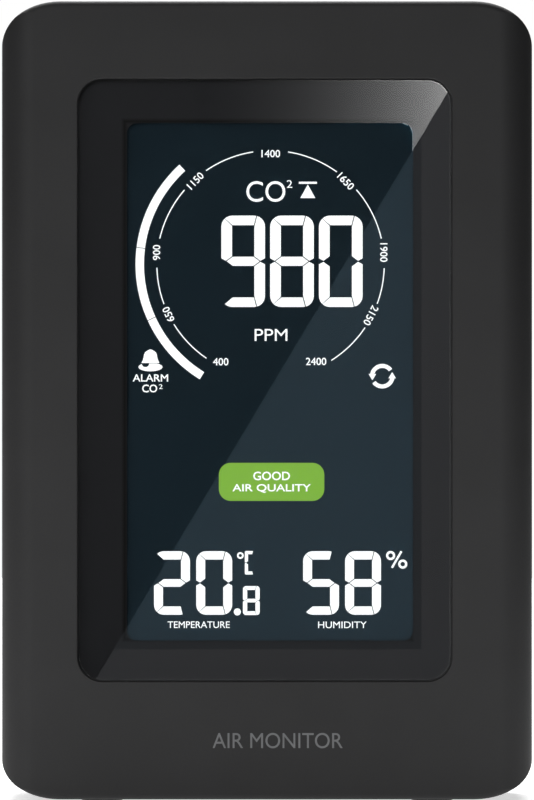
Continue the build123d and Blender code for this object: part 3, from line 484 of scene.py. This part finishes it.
looks = {
    # painted ABS: rubbery matt black that swallows reflections, even and soft
    "softTouchPaintedAbs": (grainedFinish, {
        "slots": ["case_black"], "dark": "#1f1f20", "light": "#232324", "toneMm": 9.0, "grainMm": 0.35,
        "rough": (0.52, 0.62), "depthMm": 0.006, "pebbleMm": 0.45, "pebbleDeepMm": 0.010,
        "fixed": {"IOR": 1.46, "Sheen Weight": 0.03, "Sheen Roughness": 0.5}}),
    # spark-eroded ABS: a drier, slightly greyer black with a pebbled light break-up
    "sparkTexturedAbs": (grainedFinish, {
        "slots": ["case_rear"], "dark": "#262627", "light": "#2c2c2d", "toneMm": 12.0, "grainMm": 0.5,
        "rough": (0.50, 0.66), "depthMm": 0.012, "pebbleMm": 0.6, "pebbleDeepMm": 0.035,
        "fixed": {"IOR": 1.52}}),
    # screen ink on the back of the window: deep neutral black, flat, with painted shade in a jet black band
    # along the clear opening
    "screenPrintedBlackInk": (inkWithPaintedShadeEdge, {
        "slots": ["mask_ink"], "dark": "#323337", "light": "#343539", "toneMm": 6.0, "grainMm": 0.3,
        "rough": (0.42, 0.5), "depthMm": 0.002, "fixed": {"IOR": 1.5, "Specular IOR Level": 0.25},
        # edge: where the band of painted shade lies, how wide it is and its colour
        "edge": {"left": -24.08, "right": 24.4, "foot": 27.4, "head": 115.0, "wide": 0.60,
                 "tone": "#000000"}}),
    # PE foam tape: black, matt, with open cells
    "blackFoamTape": (grainedFinish, {
        "slots": ["foam_tape"], "dark": "#141415", "light": "#242425", "toneMm": 0.8, "grainMm": 0.4,
        "rough": (0.8, 0.95), "depthMm": 0.08}),
    # dyed PVA film between hard coats: blue-black, with a bluish anti-reflection mirror
    "coatedPolariserFilm": (grainedFinish, {
        "slots": ["polariser_film"], "dark": "#18242b", "light": "#1a262d", "toneMm": 16.0, "grainMm": 2.0,
        "rough": (0.008, 0.014), "depthMm": 0.0001, "strength": 0.02,
        "fixed": {"IOR": 1.5, "Specular Tint": (0.10, 0.65, 1.0, 1.0)}}),
    # float glass with a dark cell filling
    "displayCellGlass": (grainedFinish, {
        "slots": ["lcd_glass"], "dark": "#0e1417", "light": "#12181b", "toneMm": 12.0, "grainMm": 3.0,
        "rough": (0.04, 0.09), "depthMm": 0.0005, "fixed": {"IOR": 1.52}}),
    # PET film with a chalky diffusing coat
    "frostedPetFilm": (grainedFinish, {
        "slots": ["diffuser_film"], "dark": "#dfe2e3", "light": "#eef0f0", "toneMm": 8.0, "grainMm": 0.2,
        "rough": (0.55, 0.75), "depthMm": 0.01}),
    # PMMA light guide with etched dots
    "etchedAcrylicGuide": (grainedFinish, {
        "slots": ["guide_acrylic"], "dark": "#dbe4e6", "light": "#f0f5f6", "toneMm": 2.2, "grainMm": 0.6,
        "rough": (0.15, 0.35), "depthMm": 0.02, "fixed": {"IOR": 1.49}}),
    # silicone phosphor over a lead frame
    "phosphorLed": (grainedFinish, {
        "slots": ["led_yellow"], "dark": "#cfae2b", "light": "#f0d95a", "toneMm": 0.7, "grainMm": 0.15,
        "rough": (0.3, 0.5), "depthMm": 0.01}),
    # unfilled nylon: milky white, waxy
    "mouldedWhiteNylon": (grainedFinish, {
        "slots": ["white_nylon"], "dark": "#d5d4cd", "light": "#e6e5df", "toneMm": 5.0, "grainMm": 0.4,
        "rough": (0.42, 0.58), "depthMm": 0.012, "fixed": {"Subsurface Weight": 0.05,
                                                           "Subsurface Scale": 0.002}}),
    # silicone strip with carbon layers across it: fine dark and pale bands
    "layeredSiliconeStrip": (grainedFinish, {
        "slots": ["zebra_rubber"], "dark": "#101010", "light": "#7b7d80", "toneMm": 0.35, "grainMm": 0.2,
        "rough": (0.5, 0.7), "depthMm": 0.02, "stretch": (1, 0.02, 0.02)}),
    # screened epoxy over copper: deep glossy green, brighter along the tracks
    "greenSolderMask": (boardFinish, {
        "slots": ["board_green"], "mask": "#0e4423", "copper": "#1d6b39", "tin": "#c9c6bd", "trackMm": 4.0,
        "viaMm": 3.2, "fixed": {"Roughness": 0.28, "IOR": 1.52}}),
    # the same in black: tracks only just show, rings are gilt
    "blackSolderMask": (boardFinish, {
        "slots": ["board_black"], "mask": "#121314", "copper": "#2a2b2c", "tin": "#c4a760", "trackMm": 3.0,
        "viaMm": 2.6, "fixed": {"Roughness": 0.32, "IOR": 1.52}}),
    # epoxy moulding compound: dull charcoal with a fine sandy grain
    "mouldedEpoxyChip": (grainedFinish, {
        "slots": ["chip_black"], "dark": "#19191a", "light": "#242425", "toneMm": 1.5, "grainMm": 0.12,
        "rough": (0.5, 0.7), "depthMm": 0.015}),
    # gold-plated brass tube of a gas cell: warm, softly mirrored
    "goldPlatedChamber": (drawnFinish, {
        "slots": ["sensor_shell"], "dark": "#c79b48", "light": "#dcb764", "toneMm": 5.0, "lineMm": 0.4,
        "stretch": (1, 8, 8), "rough": (0.2, 0.34), "depthMm": 0.004}),
    # expanded PTFE: chalk white felt
    "ptfeMembrane": (grainedFinish, {
        "slots": ["membrane_white"], "dark": "#e3e3e0", "light": "#f3f3f1", "toneMm": 1.2, "grainMm": 0.15,
        "rough": (0.75, 0.9), "depthMm": 0.03}),
    # gold flash on drawn brass: thin warm shine with fine lines
    "goldFlashedPins": (drawnFinish, {
        "slots": ["pin_gold"], "dark": "#c59a4c", "light": "#e0bb6b", "toneMm": 1.0, "lineMm": 0.15,
        "stretch": (4, 1, 4), "rough": (0.22, 0.36), "depthMm": 0.003}),
    # aluminium pouch foil: bright, softly crumpled
    "embossedPouchFoil": (drawnFinish, {
        "slots": ["cell_silver"], "dark": "#b4b7ba", "light": "#d2d5d7", "toneMm": 4.0, "lineMm": 1.1,
        "stretch": (1, 1, 1), "rough": (0.28, 0.46), "depthMm": 0.08}),
    # PU foam, cut: mid grey, matt, visibly cellular
    "greyFoamPad": (grainedFinish, {
        "slots": ["pad_grey"], "dark": "#55585a", "light": "#6a6d6f", "toneMm": 1.0, "grainMm": 0.5,
        "rough": (0.8, 0.95), "depthMm": 0.1}),
    # PVC wire insulation, extruded: even red with faint draw lines
    "redPvcInsulation": (grainedFinish, {
        "slots": ["lead_red"], "dark": "#8e1512", "light": "#b01f1a", "toneMm": 1.5, "grainMm": 0.3,
        "rough": (0.32, 0.48), "depthMm": 0.01, "stretch": (1, 1, 0.2)}),
    # moulded nylon: warm cream with a slight shine
    "creamNylonPlug": (grainedFinish, {
        "slots": ["plug_cream"], "dark": "#cfc6ae", "light": "#e0d9c4", "toneMm": 2.0, "grainMm": 0.25,
        "rough": (0.4, 0.55), "depthMm": 0.01}),
    # nickel-plated stamped steel: bright with straight rolling lines
    "nickelPlatedSteel": (drawnFinish, {
        "slots": ["usb_steel", "pin_steel"], "dark": "#a9adb0", "light": "#c5c8ca", "toneMm": 2.5,
        "lineMm": 0.25, "stretch": (0.3, 3, 3), "rough": (0.2, 0.38), "depthMm": 0.004}),
    # liquid crystal polymer with glass: near black, faintly streaked, satin
    "glassFilledLcp": (grainedFinish, {
        "slots": ["usb_black"], "dark": "#161617", "light": "#232324", "toneMm": 0.8, "grainMm": 0.1,
        "rough": (0.42, 0.6), "depthMm": 0.01}),
    # moulded PBT of the small switches: charcoal, satin
    "switchBodyPlastic": (grainedFinish, {
        "slots": ["switch_plastic"], "dark": "#202122", "light": "#303132", "toneMm": 1.4, "grainMm": 0.2,
        "rough": (0.38, 0.55), "depthMm": 0.01}),
    # ABS keys, vapour-blasted: mid grey with a silky top
    "blastedGreyKeys": (grainedFinish, {
        "slots": ["key_grey"], "dark": "#3c3d3f", "light": "#454648", "toneMm": 4.0, "grainMm": 0.22,
        "rough": (0.42, 0.56), "depthMm": 0.012}),
    # the slider's ABS: a shade lighter than the keys, so that the finger finds it
    "ribbedGreySlider": (grainedFinish, {
        "slots": ["slider_grey"], "dark": "#4a4b4d", "light": "#565759", "toneMm": 3.0, "grainMm": 0.2,
        "rough": (0.4, 0.55), "depthMm": 0.012}),
    # flat flex: white jacket, faint bands where the conductors lie
    "bandedWhiteRibbon": (grainedFinish, {
        "slots": ["ribbon_white"], "dark": "#c3c7c9", "light": "#eef0f0", "toneMm": 0.9, "grainMm": 0.3,
        "rough": (0.35, 0.5), "depthMm": 0.015, "stretch": (1, 0.02, 0.02)}),
    # woven polyester screen, thread spacing drawn at 0.5 mm so that it shows
    "wovenDustScreen": (meshFinish, {
        "slots": ["screen_mesh"], "dark": "#050505", "light": "#3a3c3e", "pitchMm": 0.5,
        "rough": (0.7, 0.45), "fixed": {"IOR": 1.55}}),
    # black-oxide steel screws: dark, oily sheen
    "blackOxideSteel": (drawnFinish, {
        "slots": ["screw_steel"], "dark": "#3b3b3d", "light": "#515154", "toneMm": 1.5, "lineMm": 0.2,
        "stretch": (1, 1, 1), "rough": (0.3, 0.5), "depthMm": 0.006}),
    # glass-filled ABS leg: satin black, slightly smoother than the case
    "satinBlackLeg": (grainedFinish, {
        "slots": ["stand_black"], "dark": "#232324", "light": "#2a2a2b", "toneMm": 8.0, "grainMm": 0.4,
        "rough": (0.44, 0.56), "depthMm": 0.01, "pebbleMm": 0.5, "pebbleDeepMm": 0.02}),
    # TPE feet: charcoal, dull, slightly dusty
    "charcoalTpe": (grainedFinish, {
        "slots": ["foot_rubber"], "dark": "#1d1d1d", "light": "#2b2b2a", "toneMm": 2.5, "grainMm": 0.25,
        "rough": (0.72, 0.88), "depthMm": 0.02}),
    # PMMA sheet, cut and polished: perfectly clear, mirrors the softboxes sharply
    "polishedClearAcrylic": (clearFinish, {
        "slots": ["clear_acrylic"], "dark": "#fafdfd", "light": "#ffffff", "toneMm": 40.0,
        "fixed": {"IOR": 1.49, "Transmission Weight": 1.0, "Roughness": 0.0}}),
}

finishes = {}
for name, (maker, look) in looks.items():
    finish = maker(name, look)
    for slotName in look["slots"]:
        finishes[slotName] = finish

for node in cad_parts.values():
    for held in node.material_slots:
        held.material = finishes[held.material.name]
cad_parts["display_window"].visible_shadow = False  # the clear window doesn't darken what is behind it

litWhite = litFinish("whiteLitSegments", {
    "glow": "#ffffff", "strength": 1.02, "dark": "#6e7274", "light": "#7c8082", "toneMm": 3.0})
litGreen = litFinish("greenLitBand", {
    "glow": "#7eb922", "strength": 0.90, "dark": "#0b1205", "light": "#0e1607", "toneMm": 3.0})
printGrey = grainedFinish("greyPadPrint", {
    "dark": "#737476", "light": "#7d7e80", "toneMm": 2.0, "grainMm": 0.2, "rough": (0.5, 0.65),
    "depthMm": 0.002})
print("finishes made:", len(looks))

# The lit picture of the display: thin plates just ahead of the polariser
display = {"thick": 0.05, "clear": 0.02, "art": 0.9965}  # art scales the whole drawing on the glass

plateMiddle = glassLow.y - mm(display["clear"] + display["thick"] / 2)


def art(value):
    return mm(value * display["art"])


def onGlass(across, up):
    return (glassMiddle.x + art(across), plateMiddle, glassMiddle.z + art(up))


def layPlate(across, up, wide, tall, turn=0, deep=1):
    pickOnly()
    bpy.ops.mesh.primitive_cube_add(size=1, location=onGlass(across, up),
                                    rotation=(0, -math.radians(turn), 0),
                                    scale=(art(wide), mm(display["thick"] * deep), art(tall)))
    return settle(bpy.context.object)


def roundPlate(across, up, wide, tall, corner, steps=6, deep=1):
    plate = layPlate(across, up, wide, tall, deep=deep)
    selectEdges(plate, lambda start, end: abs(start.y - end.y) > mm(display["thick"]) * 0.9)
    bpy.ops.mesh.bevel(offset=art(corner), segments=steps)
    return close(plate)


def cutPlate(plate, start, end, gap=0.0):  # keeps what lies left of the line from start to end
    run = (end[0] - start[0], end[1] - start[1])
    length = math.hypot(*run)
    left = (-run[1] / length, run[0] / length)
    edge = onGlass(start[0] + left[0] * gap, start[1] + left[1] * gap)
    openAll(plate)
    bpy.ops.mesh.bisect(plane_co=edge, plane_no=(-left[0], 0, -left[1]), use_fill=True, clear_outer=True)
    return close(plate)


def sweepArc(across, up, inner, outer, start, end, step=3.0):
    pickOnly()
    centre = onGlass(across, up)
    bpy.ops.mesh.primitive_plane_add(size=1, location=centre)
    arc = bpy.context.object
    openAll(arc)
    bpy.ops.transform.resize(value=(art(outer - inner), mm(display["thick"]), 1), center_override=centre)
    bpy.ops.transform.translate(value=(art((inner + outer) / 2), 0, 0))
    if end - start >= 360:
        bpy.ops.mesh.delete(type="ONLY_FACE")
        bpy.ops.mesh.select_all(action="SELECT")
    bpy.ops.mesh.spin(steps=max(3, round((end - start) / step)), angle=math.radians(end - start),
                      center=centre, axis=(0, 1, 0))
    close(arc)
    arc.rotation_euler = (0, -math.radians(start), 0)
    return tidyMesh(settle(arc))


def writeWord(text, place, tall, wide=None, turn=0, bold=0.0, thick=display["thick"], fine=3):
    # bold is how many millimetres each outline is pushed out
    pickOnly()
    bpy.ops.object.text_add()
    bpy.context.object.data.body = text
    bpy.context.object.data.extrude = 0.1
    bpy.context.object.data.resolution_u = fine
    bpy.ops.object.convert(target="MESH")
    word = bpy.context.object
    bpy.ops.object.origin_set(type="ORIGIN_GEOMETRY", center="BOUNDS")
    upward = mm(tall) / word.dimensions.y
    word.scale = (mm(wide) / word.dimensions.x if wide else upward, upward, mm(thick) / word.dimensions.z)
    word.rotation_euler = (math.pi / 2, -math.radians(turn), 0)
    word.location = place
    tidyMesh(settle(word))
    if bold:
        openAll(word)
        bpy.ops.transform.shrink_fatten(value=mm(bold))
        close(word)
    return word


# Seven-segment digits: each segment is a bar cut back along its joints
litSegments = {"0": "abcdef", "2": "abged", "5": "afgcd", "8": "abcdefg", "9": "abcdfg", "C": "adef"}
mainDigits = {
    "digits": [("9", -7.86), ("8", 0.43), ("0", 8.72)], "bottom": 12.50, "wide": 7.42, "tall": 15.52,
    "side": 1.82, "cap": 1.63, "bar": 1.55, "corner": 1.85, "lean": 0.42, "gap": 0.15, "notch": 0.42,
}
warmDigits = {
    "digits": [("2", -19.29), ("0", -12.12)], "bottom": -39.78, "wide": 6.10, "tall": 10.80,
    "side": 1.52, "cap": 1.42, "bar": 1.30, "corner": 1.65, "lean": 0.36, "gap": 0.13, "notch": 0.36,
}
dampDigits = {**warmDigits, "digits": [("5", 6.03), ("8", 13.16)]}
tenthDigit = {
    "digits": [("8", -4.19)], "bottom": -39.83, "wide": 2.85, "tall": 4.92,
    "side": 0.73, "cap": 0.66, "bar": 0.62, "corner": 0.5, "lean": 0.15, "gap": 0.06, "notch": 0.15,
}
degreeLetter = {
    "digits": [("C", -3.87)], "bottom": -32.95, "wide": 1.83, "tall": 4.0,
    "side": 0.55, "cap": 0.55, "bar": 0.5, "corner": 0.2, "lean": 0.12, "gap": 0.05, "notch": 0.1,
}


def segmentSet(look):
    wide, tall, side, cap, bar = (look[key] for key in ("wide", "tall", "side", "cap", "bar"))
    half, tip, lean, notch = tall / 2, look["side"] * 0.43, look["lean"], look["notch"]
    right, high, low, inner = wide - side, half + bar / 2, half - bar / 2, wide - tip
    shapes = {
        # letter: middle across, middle up, wide, tall, lines to cut along
        "a": (wide / 2, tall - cap / 2, wide, cap, [
            ((0, tall), (side, tall - cap)), ((right, tall - cap), (right + lean, tall))]),
        "b": (wide - side / 2, tall * 0.75, side, half, [
            ((right + lean, tall), (right, tall - cap)), ((right, high), (inner, half)),
            ((inner, half), (wide, half + notch))]),
        "c": (wide - side / 2, tall * 0.25, side, half, [
            ((right, cap), (right + lean, 0)), ((inner, half), (right, low)),
            ((wide, half - notch), (inner, half))]),
        "d": (wide / 2, cap / 2, wide, cap, [
            ((side, cap), (0, 0)), ((right + lean, 0), (right, cap))]),
        "e": (side / 2, tall * 0.25, side, half, [
            ((0, 0), (side, cap)), ((side, low), (tip, half)), ((tip, half), (0, half - notch))]),
        "f": (side / 2, tall * 0.75, side, half, [
            ((side, tall - cap), (0, tall)), ((tip, half), (side, high)), ((0, half + notch), (tip, half))]),
        "g": (wide / 2, half, wide - 2 * tip, bar, [
            ((side, high), (tip, half)), ((tip, half), (side, low)),
            ((right, low), (inner, half)), ((inner, half), (right, high))]),
    }
    rounder = roundPlate(wide / 2, half, wide, tall, look["corner"], deep=3)
    segments = {}
    for letter, (across, up, spread, height, lines) in shapes.items():
        segment = layPlate(across, up, spread, height)
        for start, end in lines:
            cutPlate(segment, start, end, look["gap"] / 2)
        if letter != "g":
            useModifier(segment, "BOOLEAN", operation="INTERSECT", object=rounder, solver="EXACT")
        segments[letter] = segment
    takeAway(rounder)
    return segments


def writeDigits(look):
    segments = segmentSet(look)
    copies = [copyOf(segments[letter], art(start), art(look["bottom"]))
              for digit, start in look["digits"] for letter in litSegments[digit]]
    for segment in segments.values():
        takeAway(segment)
    return copies


def pointDot(across, up, radius):
    pickOnly()
    bpy.ops.mesh.primitive_cylinder_add(vertices=32, radius=art(radius), depth=mm(display["thick"]),
                                        location=onGlass(across, up), rotation=(math.pi / 2, 0, 0))
    return settle(bpy.context.object)


def lightUp(name, parts, finish=litWhite):
    return finishPiece(joinAll(name, parts), name, finish, "housing")


# Small signs beside the readings, each given as across, up and its sizes
signs = {"point": (-5.14, -39.29, 0.6), "degree": (-4.63, -29.72, 0.27, 0.58),
         "percentHigh": (20.9, -29.72, 0.38, 0.78), "percentLow": (22.96, -31.18, 0.38, 0.78),
         "percentBar": (21.93, -30.4, 3.25, 0.37, 60), "ringStep": 12}


def smallRing(name):
    return sweepArc(*signs[name], 0, 360, signs["ringStep"])


lightUp("main_digits", writeDigits(mainDigits))
lightUp("temperature_digits", [
    *writeDigits(warmDigits), *writeDigits(tenthDigit), *writeDigits(degreeLetter),
    pointDot(*signs["point"]), smallRing("degree")])
lightUp("humidity_digits", [
    *writeDigits(dampDigits), smallRing("percentHigh"), smallRing("percentLow"),
    layPlate(*signs["percentBar"])])
print("digits cut")

gauge = {
    "across": 0.50, "up": 19.75, "lineRadius": 19.32, "lineWide": 0.19,
    "lines": [(98.8, 124.5), (139.2, 166.9), (181.7, 200.5), (211.8, 235.7), (54.3, 81.1), (13.1, 41.0),
              (-20.3, -2.0), (-57.7, -33.8)],
    "barInner": 21.50, "barOuter": 22.94, "bar": [(132.4, 172.66), (172.94, 204.46), (204.74, 238.4)],
    "figures": [  # text, across, up, turn
        ("1400", 0.04, 18.8, 0), ("1150", -12.76, 14.2, 46), ("900", -19.36, 2.0, 90),
        ("650", -17.36, -8.5, 115), ("400", -8.46, -16.55, 0), ("1650", 12.79, 14.1, -46),
        ("1900", 19.24, 2.0, -90), ("2150", 17.04, -8.7, -118), ("2400", 7.74, -16.5, 0)],
    "figureTall": 1.24, "figureBold": 0.03,
}

lightUp("gauge_line", [
    sweepArc(gauge["across"], gauge["up"], gauge["lineRadius"] - gauge["lineWide"] / 2,
             gauge["lineRadius"] + gauge["lineWide"] / 2, start, end) for start, end in gauge["lines"]])
lightUp("gauge_bar", [
    sweepArc(gauge["across"], gauge["up"], gauge["barInner"], gauge["barOuter"], start, end, 2.0)
    for start, end in gauge["bar"]])
lightUp("gauge_figures", [
    writeWord(text, onGlass(gauge["across"] + across, gauge["up"] + up), gauge["figureTall"],
              turn=turn, bold=gauge["figureBold"]) for text, across, up, turn in gauge["figures"]])

heading = {
    "gas": (-0.3, 32.12, 3.5, 6.6), "power": (3.73, 33.4, 1.3, 0.94), "unit": (0.58, 7.75, 2.02, 5.55),
    "bar": (6.84, 33.6, 3.07, 0.36), "peak": (6.83, 33.3), "foot": (5.55, 8.11, 31.0),
}
peakMark = layPlate(heading["peak"][0], (heading["peak"][1] + heading["foot"][2]) / 2,
                    heading["foot"][1] - heading["foot"][0], heading["peak"][1] - heading["foot"][2])
cutPlate(peakMark, heading["peak"], (heading["foot"][0], heading["foot"][2]))
cutPlate(peakMark, (heading["foot"][1], heading["foot"][2]), heading["peak"])
lightUp("heading", [
    writeWord("CO", onGlass(*heading["gas"][:2]), *heading["gas"][2:], fine=6),
    writeWord("2", onGlass(*heading["power"][:2]), *heading["power"][2:]),
    writeWord("PPM", onGlass(*heading["unit"][:2]), *heading["unit"][2:], fine=6),
    layPlate(*heading["bar"]), peakMark])

# Alarm bell: a flared body grown row by row over a cut oval brim
bell = {
    "across": -19.90, "bodyFoot": 2.98, "footHalf": 1.50,
    "rows": [(0.48, 1.30), (1.0, 1.16), (1.55, 1.06), (1.85, 0.88), (2.08, 0.56), (2.30, 0.14)],
    "brimUp": 2.30, "brimHalf": 2.04, "brimTall": 0.73, "brimCut": 2.86,
    "sound": (-0.84, 2.86, 0.62, 0.56),  # the dark half moon under the body
}


def ovalPlate(across, up, halfWide, halfTall, deep=1):
    plate = pointDot(across, up, 1)
    openAll(plate)
    bpy.ops.transform.resize(value=(halfWide, deep, halfTall), center_override=onGlass(across, up))
    return close(plate)


def raiseBell():
    body = layPlate(bell["across"], bell["bodyFoot"] + 0.05, 2 * bell["footHalf"], 0.1)
    below, width = 0.1, bell["footHalf"]
    for up, half in bell["rows"]:
        top = max(vertex.co.z for vertex in body.data.vertices)
        selectFaces(body, lambda middle, normal: normal.z > 0.5 and abs(middle.z - top) < mm(0.01))
        bpy.ops.mesh.extrude_region_move(TRANSFORM_OT_translate={"value": (0, 0, mm(up - below))})
        bpy.ops.transform.resize(value=(half / width, 1, 1), center_override=onGlass(bell["across"], 0))
        close(body)
        below, width = up, half
    brim = ovalPlate(bell["across"], bell["brimUp"], bell["brimHalf"], bell["brimTall"])
    cutPlate(brim, (bell["across"] + 3, bell["brimCut"]), (bell["across"] - 3, bell["brimCut"]))
    hollow = ovalPlate(bell["across"] + bell["sound"][0], *bell["sound"][1:], deep=3)
    useModifier(brim, "BOOLEAN", operation="DIFFERENCE", object=hollow, solver="EXACT")
    takeAway(hollow)
    return [body, brim]


lightUp("alarm_mark", [
    *raiseBell(), writeWord("ALARM", onGlass(-19.9, 0.45), 1.18, 5.95, bold=0.045),
    writeWord("CO", onGlass(-20.03, -1.34), 1.3, 2.5, bold=0.045),
    writeWord("2", onGlass(-18.14, -1.02), 0.8, 0.62)])

# Two arrows that chase each other
refresh = {"across": 19.48, "up": 0.75, "inner": 1.40, "outer": 2.09, "start": 36, "end": 170,
           "headFoot": 0.38, "headTip": -0.70, "headHalf": 0.65, "headAcross": -1.68}
headTip = (refresh["across"] + refresh["headAcross"], refresh["up"] + refresh["headTip"])
headTall = refresh["headFoot"] - refresh["headTip"]
headBase = refresh["up"] + refresh["headFoot"]
arrowHead = layPlate(headTip[0], (headTip[1] + headBase) / 2, 2 * refresh["headHalf"], headTall)
cutPlate(arrowHead, headTip, (headTip[0] + refresh["headHalf"], headBase))
cutPlate(arrowHead, (headTip[0] - refresh["headHalf"], headBase), headTip)
arrow = joinAll("arrow", [arrowHead, sweepArc(refresh["across"], refresh["up"], refresh["inner"],
                                              refresh["outer"], refresh["start"], refresh["end"], 8)])
twin = copyOf(arrow)
openAll(twin)
bpy.ops.transform.rotate(value=math.pi, orient_axis="Y",
                         center_override=onGlass(refresh["across"], refresh["up"]))
close(twin)
lightUp("refresh_arrows", [arrow, twin])

# Air quality band, its words a hair proud of it
quality = {"across": 0.68, "up": -17.21, "wide": 17.9, "tall": 6.46, "corner": 2.0,
           "bold": 0.05, "proud": 0.06,
           "words": [("GOOD", -16.2, 1.42, None), ("AIR QUALITY", -18.32, 1.42, 13.2)]}
lightUp("quality_band", [roundPlate(quality["across"], quality["up"], quality["wide"], quality["tall"],
                                    quality["corner"], 8)], litGreen)
qualityWords = []
for text, up, tall, wide in quality["words"]:
    place = onGlass(quality["across"], up)
    ahead = (place[0], place[1] - mm(quality["proud"]), place[2])
    qualityWords.append(writeWord(text, ahead, tall, wide, bold=quality["bold"]))
lightUp("quality_words", qualityWords)

captions = {"tall": 1.12, "bold": 0.012,
            "words": [("TEMPERATURE", -11.7, -41.47, 10.5), ("HUMIDITY", 12.7, -41.5, 8.2)]}
lightUp("captions", [
    writeWord(text, onGlass(across, up), captions["tall"], wide, bold=captions["bold"])
    for text, across, up, wide in captions["words"]])
print("display written")

# Pad print on the case
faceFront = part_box("front_housing")[0].y
lettering = {"text": "AIR MONITOR", "across": 1.8, "up": 10.3, "tall": 2.6, "wide": 22.0, "proud": 0.01}
letterPlace = (mm(lettering["across"]), faceFront, mm(lettering["up"]))
letters = writeWord(lettering["text"], letterPlace, lettering["tall"], lettering["wide"],
                    thick=2 * lettering["proud"], fine=8)
finishPiece(letters, "face_lettering", printGrey, "housing")

# Marks on the keys, and off and on beside the slider: modelled ahead of the glass, then laid on the back
marks = {"proud": 0.01, "ring": (0.78, 1.10), "dot": 0.42, "half": 1.15, "tall": 1.9,
         "row": (2.2, 0.36), "rowApart": 0.62, "bar": (0.34, 1.9), "offRing": (0.62, 0.90),
         "off": 21.2, "on": 30.9, "panelFloor": 12.8}
padPrint = grainedFinish("palePadPrint", {  # thin two-part ink, silky, a little uneven
    "dark": "#a4a6a8", "light": "#b4b6b8", "toneMm": 1.5, "grainMm": 0.2, "rough": (0.5, 0.65),
    "depthMm": 0.002})


def layOnBack(parts, name, body, across, up, back):
    mark = joinAll(name, parts)
    openAll(mark)
    bpy.ops.transform.resize(value=(1, 2 * marks["proud"] / display["thick"], 1),
                             center_override=onGlass(0, 0))
    bpy.ops.transform.translate(value=(across - glassMiddle.x, back - plateMiddle, up - glassMiddle.z))
    close(mark)
    finishPiece(mark, name, padPrint, body)


def cutTriangle(way):  # points up with 1, down with -1
    half, reach = marks["half"], marks["tall"] / 2
    plate = layPlate(0, 0, 2 * half, 2 * reach)
    cutPlate(plate, (0, way * reach), (-way * half, -way * reach))
    return cutPlate(plate, (way * half, -way * reach), (0, way * reach))


def openRing(inner, outer):
    return sweepArc(0, 0, inner, outer, 0, 360, signs["ringStep"])


keyMarks = {
    "mode": [openRing(*marks["ring"]), pointDot(0, 0, marks["dot"])],
    "up": [cutTriangle(1)],
    "down": [cutTriangle(-1)],
    "set": [layPlate(0, row * marks["rowApart"], *marks["row"]) for row in (1, 0, -1)],
}
for name, parts in keyMarks.items():
    keyLow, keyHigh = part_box("key_" + name)
    keyMiddle = (keyLow + keyHigh) / 2
    layOnBack(parts, name + "_mark", name + "_key", keyMiddle.x, keyMiddle.z, keyHigh.y)
for name, part, across in (("off_mark", openRing(*marks["offRing"]), marks["off"]),
                           ("on_mark", layPlate(0, 0, *marks["bar"]), marks["on"])):
    layOnBack([part], name, "housing", mm(across), keyMiddle.z, mm(marks["panelFloor"]))
print("case printed")
